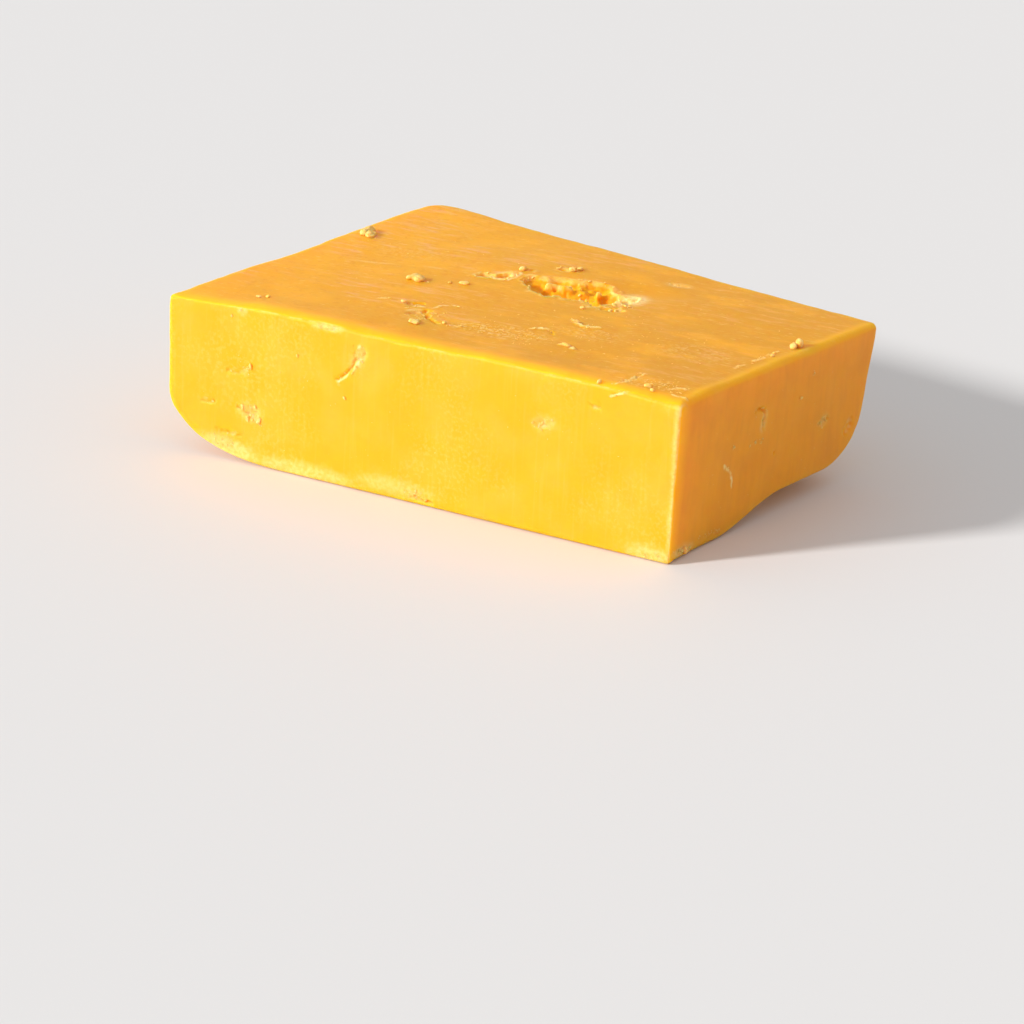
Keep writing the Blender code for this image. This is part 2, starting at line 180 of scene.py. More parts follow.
# pale floury places: face, place, height, half length, half width, turn, strength
floury = (
    ("front", -52.0, 3.0, 11.0, 3.0, -10, 0.6), ("front", -32.0, 1.6, 17.0, 2.6, 0, 0.5),
    ("front", -8.0, 3.0, 14.0, 2.8, 0, 0.35), ("front", 55.0, 1.4, 7.5, 2.6, 0, 0.5),
    ("front", -47.0, 12.4, 4.4, 3.0, -14, 0.35), ("front", 28.4, 25.4, 4.4, 2.4, 10, 0.3),
    ("front", -26.6, 36.3, 5.6, 0.9, 0, 0.5), ("front", -49.4, 35.8, 1.8, 1.6, 0, 0.4),
    ("front", -18.4, 30.6, 4.6, 2.2, 60, 0.35),
    ("right", -48.0, 1.8, 6.0, 1.6, 0, 0.5), ("right", 6.8, 17.4, 3.0, 2.0, 15, 0.3),
    ("right", -18.9, 23.6, 3.4, 1.6, 78, 0.4),
    ("top", -17.6, -31.4, 3.2, 1.6, 45, 0.5),
    ("top", -47.0, -2.6, 8.0, 0.9, 17, 0.35), ("top", -32.5, 2.2, 4.0, 0.9, 10, 0.3),
    ("top", 16.2, 9.0, 5.4, 8.5, 10, 1.0), ("top", -16.0, 7.6, 4.4, 3.2, 30, 0.45),
    ("top", 19.6, 27.0, 4.6, 2.6, 10, 0.4),
)


# places where the wire tore the skin into fine grain: x, y, half length, half width, turn, strength
grainy = (
    (6.0, -33.0, 17.0, 7.0, 10, 1.0), (-14.0, -34.0, 9.0, 6.0, 20, 0.6),
    (22.0, -22.0, 12.0, 7.0, 0, 0.6), (50.0, -47.0, 10.0, 5.0, 10, 0.8),
    (47.0, -20.0, 13.0, 10.0, 0, 0.5), (16.0, -1.0, 7.0, 4.0, 10, 0.9),
    (-44.0, 10.0, 14.0, 8.0, 0, 0.35),
)


def gridLines(zones, length):  # where the mesh's lines lie along one side
    places = [0.0]
    for start, end, step in zones:
        places += list(np.linspace(start, end, max(1, round((end - start) / step)) + 1)[1:])
    return np.array(places) / places[-1] * length


def boxShell(xs, ys, zs):  # points and outward quads of a box with lines at these places
    index = np.full((len(xs), len(ys), len(zs)), -1)
    outside = np.ones(index.shape, bool)
    outside[1:-1, 1:-1, 1:-1] = False
    index[outside] = np.arange(outside.sum())
    i, j, k = np.nonzero(outside)
    quads = []
    for sheet, turned in (
        (index[:, :, 0], True), (index[:, :, -1], False), (index[:, 0, :], False),
        (index[:, -1, :], True), (index[0, :, :], True), (index[-1, :, :], False),
    ):
        corners = [sheet[:-1, :-1], sheet[1:, :-1], sheet[1:, 1:], sheet[:-1, 1:]]
        quads.append(np.stack([c.ravel() for c in (corners[::-1] if turned else corners)], axis=1))
    return np.stack([xs[i], ys[j], zs[k]], axis=1), np.concatenate(quads)


def near(distance, reach):  # 1 on a surface, 0 at the reach
    return np.clip(1 - distance / reach, 0, 1)


def mixed(first, second, firstWeight, secondWeight):  # between two sizes, by their weights
    total = firstWeight + secondWeight
    share = np.where(total > 0, firstWeight / np.maximum(total, 1e-9), 0)
    return first * share + second * (1 - share)


def smoothStep(value):  # eases from 0 to 1
    value = np.clip(value, 0, 1)
    return value * value * (3 - 2 * value)


def wavy(points, length, seed):  # smooth noise from -1 to 1
    offset = Vector((seed * 7.3, seed * 3.1, seed * 5.7))
    return np.array([noise.noise(Vector(p) / length + offset) for p in points])


def slump(points):  # rounds the old outside: left, back and bottom
    distance = np.stack([points[:, 0], block["depth"] - points[:, 1], points[:, 2]], axis=1)
    byLeft, byBack, byBottom = (near(distance[:, n], block["slumpReach"]) for n in range(3))
    radii = np.stack([
        mixed(block["leftBack"], block["leftBottom"][0], byBack, byBottom),
        mixed(block["leftBack"], block["backBottom"][0], byLeft, byBottom),
        mixed(block["leftBottom"][1], block["backBottom"][1], byLeft, byBack),
    ], axis=1)
    power = block["slumpPower"]
    closeness = np.clip(1 - distance / radii, 0, 1)
    most = closeness.max(axis=1)
    size = (closeness ** power).sum(axis=1) ** (1 / power)
    inside = size > 0
    pulled = closeness * np.where(inside, most / np.maximum(size, 1e-9), 1)[:, None]
    moved = np.where(closeness > 0, radii * (1 - pulled), distance)
    span = np.linalg.norm(radii * pulled, axis=1) / np.maximum(most, 1e-9)
    depth = np.where(inside, (1 - most) * span, 1000.0)
    slope = pulled ** (power - 1) / radii * np.array([-1, 1, -1])
    normal = slope / np.maximum(np.linalg.norm(slope, axis=1), 1e-9)[:, None]
    return np.stack([moved[:, 0], block["depth"] - moved[:, 1], moved[:, 2]], axis=1), depth, normal


def roundCuts(points, depth, outsideNormal):  # small radii where the cuts meet
    ones = np.ones(len(points))[:, None]
    distance = {
        "F": points[:, 1], "R": block["front"] - points[:, 0],
        "T": block["height"] - points[:, 2], "O": depth,
    }
    normals = {
        "F": ones * np.array([0.0, -1, 0]), "R": ones * np.array([1.0, 0, 0]),
        "T": ones * np.array([0.0, 0, 1]), "O": outsideNormal,
    }
    wide = {name: near(d, block["cutReach"]) for name, d in distance.items()}
    total, radius = 0, 0
    for (first, second), size in block["cutRadii"].items():
        weight = wide[first] * wide[second]
        total = total + weight
        radius = radius + weight * size
    radius = np.where(total > 1e-9, radius / np.maximum(total, 1e-9), 1)
    close = {name: near(d, radius) for name, d in distance.items()}
    size = np.sqrt(sum(c ** 2 for c in close.values()))
    lean = sum(close[name][:, None] * normals[name] for name in close)
    inward = radius * (1 - 1 / np.maximum(size, 1))
    moved = points - inward[:, None] * lean
    normal = lean / np.maximum(np.linalg.norm(lean, axis=1), 1e-9)[:, None]
    return moved, normal, wide


def toPlan(points):  # from the plain box to the block's uneven plan
    flare, taper = math.radians(block["rightFlare"]), math.radians(block["leftTaper"])
    corners = np.array([
        [0, 0], [block["front"], 0],
        [block["front"] + block["right"] * math.sin(flare), block["right"] * math.cos(flare)],
        [block["left"] * math.sin(taper), block["left"] * math.cos(taper)],
    ])
    middle = (corners.min(0) + corners.max(0)) / 2
    frontLeft, frontRight, backRight, backLeft = corners - middle - block["centre"]
    across, along = points[:, 0:1] / block["front"], points[:, 1:2] / block["depth"]
    front = frontLeft * (1 - across) + frontRight * across
    back = backLeft * (1 - across) + backRight * across
    plan = front * (1 - along) + back * along
    up = points[:, 2] / block["height"]
    plan[:, 0] -= block["rightUndercut"] * (1 - up) * across[:, 0]
    plan[:, 1] -= block["backUndercut"] * (1 - up) * along[:, 0]
    height = points[:, 2] - block["backRightDrop"] * up * (across * along)[:, 0]
    return np.column_stack([plan, height])


def oval(x, y, middleX, middleY, halfLength, halfWidth, turn):  # 1 in its middle, 0 on its rim
    cos, sin = math.cos(math.radians(turn)), math.sin(math.radians(turn))
    dx, dy = x - middleX, y - middleY
    return 1 - np.hypot((dx * cos + dy * sin) / halfLength, (dy * cos - dx * sin) / halfWidth)


def fromLine(a, b, line):  # distance from a bent line
    nearest = np.full(len(a), 1e9)
    for (startA, startB), (endA, endB) in zip(line, line[1:]):
        da, db = endA - startA, endB - startB
        along = np.clip(((a - startA) * da + (b - startB) * db) / (da * da + db * db), 0, 1)
        nearest = np.minimum(nearest, np.hypot(a - startA - along * da, b - startB - along * db))
    return nearest


def hollowDepth(points):  # how deep the torn hollow is below the top, and how near its rim is
    flat = points * [1, 1, 0]
    ragged = sum(swing * wavy(flat, length, 4 + n) for n, (swing, length) in enumerate(hollow["ragged"]))
    depth, rim = np.zeros(len(points)), np.zeros(len(points))
    for middleX, middleY, length, width, turn, deep in hollow["scoops"]:
        inside = oval(points[:, 0], points[:, 1], middleX, middleY, length, width, turn)
        inside = inside * min(length, width) + ragged * min(1, deep / 3)
        side = (points[:, :2] - (middleX, middleY)) @ hollow["deepSide"] / max(length, width)
        side = np.clip(side, -1, 1)
        wall = np.interp(-side, (-1, 1), hollow["wall"])
        floor = deep * (1 + hollow["tilt"] * side)
        depth = np.maximum(depth, floor * (1 - np.exp(-np.maximum(inside, 0) / wall)))
        lip = np.exp(-(np.minimum(inside, 0) / hollow["lipWidth"]) ** 2)
        rim = np.maximum(rim, lip * min(1, deep / 2))
    return depth, rim * (depth < 0.6)


def liftOf(points, rightDistance, frontDistance):  # the foot of the right face rises to the back
    along = smoothStep((frontDistance - block["liftStart"]) / (block["liftFull"] - block["liftStart"]))
    inward = smoothStep(near(rightDistance, block["liftInward"]))
    return block["lift"] * along * inward * smoothStep(near(points[:, 2], block["liftUpward"]))


def faceSides(points, normal):  # each face's own two directions, and where it faces
    return {
        "front": (points[:, 0], points[:, 2], -normal[:, 1]),
        "right": (points[:, 1], points[:, 2], normal[:, 0]),
        "top": (points[:, 0], points[:, 1], normal[:, 2]),
    }


def shapeBlock():  # the plain box rounded, spread to its plan, rolled, bowed and leaned
    points, quads = boxShell(
        gridLines(block["linesX"], block["front"]), gridLines(block["linesY"], block["depth"]),
        gridLines(block["linesZ"], block["height"]),
    )
    rounded, depth, outsideNormal = slump(points)
    flatBox, normal, wide = roundCuts(rounded, depth, outsideNormal)
    placed = toPlan(flatBox)
    fromFront, fromRight = flatBox[:, 1], block["front"] - flatBox[:, 0]
    fromTop = block["height"] - flatBox[:, 2]
    rollReach, rollDrop, rollHeight = block["roll"]
    placed[:, 2] -= rollDrop * near(fromFront, rollReach) ** 2 * near(fromTop, rollHeight)
    bow = np.interp(placed[:, 0], *np.array(block["bow"]).T)
    bowBack, bowDown = block["bowReach"]
    placed[:, 2] += bow * smoothStep(near(fromFront, bowBack)) * smoothStep(near(fromTop, bowDown))
    cornerBack, cornerAlong = block["cornerReach"]
    byCorner = smoothStep(near(fromFront, cornerBack)) * smoothStep(near(fromRight, cornerAlong))
    placed[:, 0] += byCorner * np.interp(flatBox[:, 2], (0, block["height"]), block["cornerLean"])
    return quads, flatBox, placed, normal, wide


def wearSurface(placed, normal, wide):  # how far inward wear goes, and the torn and floury marks
    edge = np.sort(np.stack(list(wide.values())), axis=0)[-2]
    inward = sum(deep * wavy(placed, length, n + 1) for n, (deep, length) in enumerate(block["waves"]))
    nibble = block["nibble"]["other"]
    nibble = nibble + (block["nibble"]["F"] - nibble) * smoothStep(wide["F"] * 2)
    inward += nibble * np.clip(wavy(placed, block["nibbleLength"], 9) + 0.05, 0, 1) * edge
    torn, pale = np.zeros(len(placed)), np.zeros(len(placed))
    warped = placed + sum(
        swing * np.stack([wavy(placed, size, 21 + n + 5 * size) for n in range(3)], axis=1)
        for swing, size in marking["raggedMarks"]
    )
    sides = faceSides(warped, normal)
    level, swing, length = marking["bruise"]
    bruised = smoothStep(level + swing * wavy(placed, length, 61))
    for face, a, b, length, width, turn, deep in scars:
        alongFace, upFace, facing = sides[face]
        inside = oval(alongFace, upFace, a, b, length, width, turn)
        inside = smoothStep(marking["scarEdge"] * inside) * (facing > 0.5)
        inward += deep * inside
        torn = np.maximum(torn, (1.0 if face == "top" else marking["shallowTear"]) * inside)
        pale = np.maximum(pale, marking["bruisePale"] * inside * bruised)
    level, swing, length = marking["tear"]
    broken = smoothStep(level + swing * wavy(placed, length, 31))
    for face, line, width, deep in strokes:
        alongFace, upFace, facing = sides[face]
        inside = marking["strokeEdge"] - fromLine(alongFace, upFace, line) / width
        inside = smoothStep(inside) * broken * (facing > 0.3)
        inward += deep * inside
        torn = np.maximum(torn, marking["shallowTear"] * inside)
        if deep < 0:
            pale = np.maximum(pale, inside)
    plainSides = faceSides(placed, normal)
    for face, a, b, length, width, turn, strength in floury:
        alongFace, upFace, facing = plainSides[face]
        spread = oval(alongFace, upFace, a, b, length, width, turn)
        spread = smoothStep(marking["flourEdge"] * spread) * (facing > 0.3)
        pale = np.maximum(pale, strength * spread)
    return inward, torn, pale, broken


def blockForm():  # points, quads and the marks that the relief and the material read
    quads, flatBox, placed, normal, wide = shapeBlock()
    inward, torn, pale, broken = wearSurface(placed, normal, wide)
    grain = np.zeros(len(placed))
    for x, y, length, width, turn, strength in grainy:
        inside = oval(placed[:, 0], placed[:, 1], x, y, length, width, turn)
        grain = np.maximum(grain, strength * smoothStep(marking["grainEdge"] * inside))

    exposed = 1 - np.clip(-normal[:, 2], 0, 1)  # the underside keeps flat
    form = placed - (inward * exposed)[:, None] * normal
    top = normal[:, 2] > 0.5
    deepness, rim = np.zeros(len(form)), np.zeros(len(form))
    deepness[top], rim[top] = hollowDepth(form[top])
    dentX, dentY, dentLength, dentWidth, dentTurn, dentDepth = hollow["dent"]
    dent = smoothStep(oval(form[:, 0], form[:, 1], dentX, dentY, dentLength, dentWidth, dentTurn))
    form[:, 2] += top * (hollow["lip"] * rim - deepness - dentDepth * dent)
    torn = np.maximum(torn, smoothStep(deepness / 0.9))
    pale = np.maximum(pale, marking["lipPale"] * rim * broken)
    fromFront, fromRight = flatBox[:, 1], block["front"] - flatBox[:, 0]
    form[:, 2] += liftOf(form, fromRight, fromFront)
    form[(normal[:, 2] < -0.999) & (form[:, 2] < 0.03), 2] = 0
    form[:, 2] = np.maximum(form[:, 2], 0)

    skinBack, skinIn = marking["skin"]
    inner = np.minimum(fromFront / skinBack, fromRight / skinIn)
    inner = smoothStep(np.minimum(inner, 1.1 - wide["O"]))
    skin = smoothStep((normal[:, 2] - 0.9) / 0.1) * inner * (1 - smoothStep(deepness / 0.5))
    glowReach, glowSwing, glowLength = marking["glow"]
    waver = fromFront - glowSwing * wavy(placed, glowLength, 41)
    flat = smoothStep((normal[:, 2] - 0.75) / 0.2)
    outsideGlow = marking["outsideGlow"] * smoothStep(wide["O"])
    frontGlow = flat * np.maximum(smoothStep(1 - waver / glowReach), outsideGlow)
    rightReach, rightShare = marking["rightGlow"]
    rightGlow = near(fromRight, rightReach) * smoothStep((normal[:, 2] - 0.1) / 0.6)
    rightGlow = rightShare * smoothStep(rightGlow)
    cornerGlow = near(fromFront, marking["cornerGlow"]) * (normal[:, 0] > 0.5)
    fringeReach, fringeShare, fringeLength = marking["fringe"]
    fringe = near(fromRight, fringeReach) * (normal[:, 1] < -0.5)
    fringe = smoothStep(fringe * (1.1 + 0.5 * wavy(placed, fringeLength, 51)))
    # the crests of the cut edges, where the material paints shade and a broken highlight line
    topCrest = near(np.abs(1 - normal[:, 2] ** 2 - 0.5), marking["corner"]) * wide["F"] * wide["T"]
    sideCrest = near(np.abs(normal[:, 0] ** 2 - 0.5), marking["corner"]) * wide["F"] * wide["R"]
    marks = {
        "skin": skin, "torn": torn, "pale": np.maximum(pale, fringeShare * fringe),
        "crisp": smoothStep(np.maximum(marking["cornerCrisp"] * topCrest, sideCrest)),
        "hollow": smoothStep(deepness / 1.5), "facing": normal,
        "glow": np.maximum(frontGlow, np.maximum(rightGlow, cornerGlow)),
        "grain": grain * (normal[:, 2] > 0.9),
    }
    return form, quads, marks


def makeBlockMesh():
    form, quads, marks = blockForm()
    low, high = (np.array(corner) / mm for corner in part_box("cheddar_block"))
    middle = (form.min(0) + form.max(0)) / 2 - (low + high) / 2
    print("off the solid's middle by", middle[:2].round(3), "mm")
    form[:, :2] -= middle[:2]
    mesh = bpy.data.meshes.new("cheddarBlock")
    mesh.from_pydata((form * mm).tolist(), [], quads.tolist())
    for name, values in marks.items():
        kind, field = ("FLOAT", "value") if values.ndim == 1 else ("FLOAT_VECTOR", "vector")
        mesh.attributes.new(name, kind, "POINT").data.foreach_set(field, values.astype(np.float32).ravel())
    shape = bmesh.new()
    shape.from_mesh(mesh)
    base = [f for f in shape.faces if all(v.co.z == 0 for v in f.verts)]
    bmesh.ops.dissolve_faces(shape, faces=base)
    bmesh.ops.triangulate(shape, faces=shape.faces)
    shape.to_mesh(mesh)
    shape.free()
    mesh.shade_smooth()
    return mesh


curd = {
    "Curd Size": 2.9 * mm, "Curd Depth": 1.8 * mm,  # rounded lumps that the tear ran round
    "Crumb Size": 1.2 * mm, "Crumb Depth": 0.6 * mm,  # broken grain on the lumps
    "Grit Size": 0.6 * mm, "Grit Depth": 0.25 * mm,
    "Smear Size": 1.5 * mm, "Smear Depth": 0.05 * mm,  # the wire's drag over the top
    "Chatter Size": 0.9 * mm, "Chatter Depth": 0.5 * mm,  # skin torn into grain
    "Seed": 3.0,
}
# cells are rounded lumps: name, the mark that they show on, how far they run into each other
curdCells = (("Crumb", "torn", 0.12), ("Curd", "hollow", 0.15))
cellMiddle = 0.45  # the usual distance in a cell, taken as the level
# noises: name, the mark that they show on, stretch along x, detail
curdNoises = (("Grit", "torn", 1, 2.0), ("Smear", "skin", 0.22, 3.0), ("Chatter", "grain", 1, 2.0))


def nodeGroup(name, sizes):  # a Geometry Nodes tree with its named inputs
    tree = bpy.data.node_groups.new(name, "GeometryNodeTree")
    tree.interface.new_socket("Geometry", in_out="INPUT", socket_type="NodeSocketGeometry")
    for key in sizes:
        tree.interface.new_socket(key, in_out="INPUT", socket_type="NodeSocketFloat")
    tree.interface.new_socket("Material", in_out="INPUT", socket_type="NodeSocketMaterial")
    tree.interface.new_socket("Geometry", in_out="OUTPUT", socket_type="NodeSocketGeometry")
    return tree, addNode(tree, "NodeGroupInput"), addNode(tree, "NodeGroupOutput")


def reliefTree():  # pushes the block's surface in and out by the curd's own grain
    tree, given, result = nodeGroup("curdRelief", curd)
    position = addNode(tree, "GeometryNodeInputPosition")
    levels = []
    for name, mark, smoothness in curdCells:
        often = addNode(tree, "ShaderNodeMath", {
            0: 1.0, 1: given.outputs[name + " Size"],
        }, operation="DIVIDE")
        counted = addNode(tree, "ShaderNodeVectorMath", {
            0: position.outputs[0], "Scale": often.outputs[0],
        }, operation="SCALE")
        cells = addNode(tree, "ShaderNodeTexVoronoi", {
            "Vector": counted.outputs[0], "W": given.outputs["Seed"], "Scale": 1.0,
            "Smoothness": smoothness,
        }, voronoi_dimensions="4D", feature="SMOOTH_F1")
        level = addNode(tree, "ShaderNodeMath", {
            0: cellMiddle, 1: cells.outputs["Distance"],
        }, operation="SUBTRACT")
        levels.append((name, mark, level))
    for name, mark, stretch, detail in curdNoises:
        drawnOut = addNode(tree, "ShaderNodeVectorMath", {0: position.outputs[0], 1: (stretch, 1, 1)},
                           operation="MULTIPLY")
        often = addNode(tree, "ShaderNodeMath", {
            0: 1.0, 1: given.outputs[name + " Size"],
        }, operation="DIVIDE")
        counted = addNode(tree, "ShaderNodeVectorMath", {
            0: drawnOut.outputs[0], "Scale": often.outputs[0],
        }, operation="SCALE")
        grains = addNode(tree, "ShaderNodeTexNoise", {
            "Vector": counted.outputs[0], "Scale": 1.0, "Detail": detail,
        })
        level = addNode(tree, "ShaderNodeMath", {0: grains.outputs[0], 1: 0.5}, operation="SUBTRACT")
        levels.append((name, mark, level))
    height = 0.0
    for name, mark, level in levels:
        where = addNode(tree, "GeometryNodeInputNamedAttribute", {"Name": mark}, data_type="FLOAT")
        deep = addNode(tree, "ShaderNodeMath", {0: level.outputs[0], 1: given.outputs[name + " Depth"]},
                       operation="MULTIPLY")
        shown = addNode(tree, "ShaderNodeMath", {
            0: deep.outputs[0], 1: where.outputs[0],
        }, operation="MULTIPLY")
        height = addNode(tree, "ShaderNodeMath", {
            0: height, 1: shown.outputs[0],
        }, operation="ADD").outputs[0]
    # small scars rise straight off their face, the hollow's lumps off its own sloping walls
    own = addNode(tree, "GeometryNodeInputNormal")
    smooth = addNode(tree, "GeometryNodeBlurAttribute", {"Value": own.outputs[0], "Iterations": 5},
                     data_type="FLOAT_VECTOR")
    hollowed = addNode(tree, "GeometryNodeInputNamedAttribute", {"Name": "hollow"}, data_type="FLOAT")
    facing = addNode(tree, "GeometryNodeInputNamedAttribute", {
        "Name": "facing",
    }, data_type="FLOAT_VECTOR")
    way = addNode(tree, "ShaderNodeMix", {
        0: hollowed.outputs[0], 4: facing.outputs[0], 5: smooth.outputs[0],
    }, data_type="VECTOR")
    straight = addNode(tree, "ShaderNodeVectorMath", {0: way.outputs[1]}, operation="NORMALIZE")
    offset = addNode(tree, "ShaderNodeVectorMath", {
        0: straight.outputs[0], "Scale": height,
    }, operation="SCALE")
    moved = addNode(tree, "GeometryNodeSetPosition", {
        "Geometry": given.outputs["Geometry"], "Offset": offset.outputs[0],
    })
    real = addNode(tree, "GeometryNodeRealizeInstances", {"Geometry": moved.outputs[0]})
    dressed = addNode(tree, "GeometryNodeSetMaterial", {
        "Geometry": real.outputs[0], "Material": given.outputs["Material"],
    })
    tree.links.new(dressed.outputs[0], result.inputs[0])
    return tree


def nodesModifier(obj, tree, values):  # sets each named input by its socket's identifier
    modifier = obj.modifiers.new(tree.name, "NODES")
    modifier.node_group = tree
    for item in tree.interface.items_tree:
        if item.in_out == "INPUT" and item.name in values:
            modifier[item.identifier] = values[item.name]
    return modifier


def frozen(obj, name):  # the evaluated shape as a plain mesh in a new object
    graph = bpy.context.evaluated_depsgraph_get()
    mesh = bpy.data.meshes.new_from_object(obj.evaluated_get(graph))
    mesh.name = name
    obj.modifiers.clear()
    bpy.data.objects.remove(obj)
    made = bpy.data.objects.new(name, mesh)
    bpy.context.scene.collection.objects.link(made)
    return made


def makeBlock(material):
    obj = bpy.data.objects.new("blockDraft", makeBlockMesh())
    bpy.context.scene.collection.objects.link(obj)
    nodesModifier(obj, reliefTree(), {**curd, "Material": material})
    thinner = obj.modifiers.new("thinner", "DECIMATE")
    thinner.ratio = block["triangles"] / len(obj.data.polygons)
    made = frozen(obj, "cheddarBlock")
    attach(made, "root")
    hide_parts("cheddar_block")
    print("block:", len(made.data.polygons), "triangles")
    return made


crumbs = {
    # face, place along it and up it, length, width, height, turn in degrees
    "named": (
        ("top", -61.2, 18.0, 5.4, 2.7, 1.7, -36), ("top", -59.4, 16.8, 4.6, 2.4, 1.4, -34),
        ("top", -30.8, -9.4, 4.4, 2.5, 1.4, -24), ("top", -29.6, -10.0, 3.4, 2.5, 1.6, -10),
        ("top", -19.8, -6.0, 2.6, 1.5, 0.9, 5), ("top", -51.2, -44.4, 1.8, 1.0, 0.5, 20),
        ("top", -49.4, -43.2, 1.5, 1.0, 0.6, 0),
        ("top", -22.8, -7.4, 1.2, 0.8, 0.6, 0),
        ("top", 63.2, -0.8, 2.6, 1.6, 2.3, 40), ("top", 62.6, -2.8, 2.4, 1.5, 1.5, 20),
        ("top", 61.8, -11.8, 1.1, 0.8, 0.6, 0), ("top", -12.6, -40.2, 3.8, 2.4, 0.8, 25),
        ("top", -7.2, -36.4, 1.3, 0.9, 0.8, 5),
        ("top", -22.8, -28.0, 1.5, 1.0, 0.8, 20), ("top", 15.6, -16.2, 2.4, 1.1, 0.7, -35),
        ("top", 22.4, -34.0, 2.2, 1.2, 0.7, 0), ("top", -14.4, 12.6, 2.4, 1.5, 1.0, 10),
        ("top", -4.9, 19.6, 1.9, 1.3, 1.1, 20), ("top", -4.0, 21.8, 1.7, 1.2, 1.0, 60),
        ("top", 10.6, -4.6, 1.2, 0.9, 0.8, 0), ("top", 50.2, -49.3, 1.6, 1.1, 0.9, 30),
        ("top", 52.1, -51.0, 1.2, 0.8, 0.7, 0), ("top", 40.6, -53.0, 1.5, 0.9, 0.8, 0),
        ("front", -46.8, 23.3, 1.4, 0.7, 0.6, 10), ("front", -34.2, 28.4, 0.7, 0.6, 0.4, 0),
        ("front", -21.6, 21.0, 0.9, 0.6, 0.4, 60), ("front", -52.2, 34.2, 0.6, 0.5, 0.4, 0),
        ("front", -44.4, 11.0, 1.7, 1.0, 0.5, -20), ("front", -47.4, 10.8, 1.5, 0.9, 0.5, 0),
        ("front", -49.0, 13.2, 1.3, 0.8, 0.4, 0), ("front", -45.4, 13.9, 1.1, 0.7, 0.4, 20),
        ("right", -47.6, 1.7, 1.7, 1.2, 1.0, 0), ("right", 8.4, 17.8, 1.4, 0.9, 0.7, 20),
        ("right", -4.3, 25.6, 0.8, 1.3, 0.5, 0),
    ),
    # face, place along it and up it, half length, half width, turn, how many, smallest, largest
    "clusters": (
        ("front", -47.4, 13.8, 2.2, 0.5, 5, 9, 0.2, 0.6),
        ("front", -45.4, 10.9, 2.6, 0.8, -20, 16, 0.2, 0.7),
        ("front", -47.6, 22.8, 1.6, 0.6, 15, 8, 0.2, 0.5),
        ("front", -18.0, 31.0, 2.9, 1.0, 68, 12, 0.15, 0.5),
        ("front", 28.4, 25.2, 3.0, 1.5, 10, 14, 0.2, 0.6),
        ("front", -52.0, 3.4, 8.0, 2.0, -12, 36, 0.15, 0.6),
        ("front", -3.4, 2.3, 2.8, 1.1, -10, 12, 0.2, 0.7),
        ("front", 54.6, 1.5, 5.4, 1.0, 0, 18, 0.2, 0.6),
        ("front", -26.6, 36.4, 5.2, 0.4, 0, 12, 0.2, 0.45),
        ("front", -49.4, 35.8, 1.0, 0.7, 0, 5, 0.2, 0.5),
        ("front", 45.8, 35.4, 2.2, 0.7, 50, 4, 0.2, 0.4),
        ("front", 0.0, 17.0, 62.0, 16.0, 0, 60, 0.1, 0.25),
        ("right", 6.8, 17.5, 2.2, 1.3, 10, 22, 0.2, 0.8),
        ("right", -18.8, 24.0, 2.6, 0.8, 78, 18, 0.2, 0.5),
        ("right", -21.4, 19.3, 3.2, 0.7, 0, 14, 0.2, 0.5),
        ("right", -48.6, 1.9, 4.0, 0.8, -8, 28, 0.2, 0.8),
        ("right", -37.4, 2.6, 5.4, 0.7, 0, 22, 0.2, 0.5),
        ("right", -30.6, 20.7, 0.7, 0.5, 0, 5, 0.2, 0.5),
        ("right", 0.4, 30.2, 0.6, 1.0, 0, 6, 0.2, 0.5),
        ("right", -10.0, 18.0, 40.0, 14.0, 0, 90, 0.1, 0.25),
        ("top", 15.4, 6.6, 2.8, 5.4, 10, 16, 0.4, 1.2), ("top", 17.2, 0.8, 3.6, 2.6, 60, 14, 0.4, 1.2),
        ("top", 4.0, 6.0, 8.0, 5.0, 5, 16, 0.3, 1.0), ("top", -15.6, 3.6, 2.4, 0.8, 30, 4, 0.3, 0.6),
        ("top", -4.8, 20.4, 1.4, 2.4, 0, 8, 0.3, 0.9), ("top", -60.4, 17.4, 4.0, 1.8, -30, 5, 0.2, 0.6),
        ("top", -29.0, -10.2, 3.0, 1.4, -20, 4, 0.2, 0.6),
        ("top", -14.0, -34.0, 6.0, 3.0, 62, 22, 0.15, 0.5),
        ("top", 8.0, -35.0, 11.0, 6.0, 0, 50, 0.12, 0.4), ("top", 19.6, 27.0, 3.2, 1.7, 10, 16, 0.2, 0.8),
        ("top", 44.8, -46.4, 1.2, 4.8, 0, 9, 0.2, 0.6), ("top", 53.0, -46.0, 7.0, 5.0, 0, 30, 0.2, 0.6),
        ("top", 60.4, -14.0, 1.0, 8.0, 0, 9, 0.15, 0.4), ("top", 17.4, -15.8, 4.6, 1.2, -22, 8, 0.2, 0.5),
        ("top", 0.0, -2.0, 62.0, 46.0, 0, 90, 0.12, 0.35),
        ("top", 24.0, -22.0, 26.0, 20.0, 0, 90, 0.12, 0.35),
    ),
    "perLip": 1.6, "lowLipShare": 0.25, "onRim": 36,  # along a torn lip for each mm, and round the hollow
    "sunk": 0.22,  # share of its height that a crumb sits in the surface
    "largeDetail": 4, "fineDetail": 2, "seed": 7,
}
crumbSizes = {"Detail": 3.0, "Lumps": 1.3, "Roughness": 0.65, "Seed": 5.0}  # lumps counted along one crumb


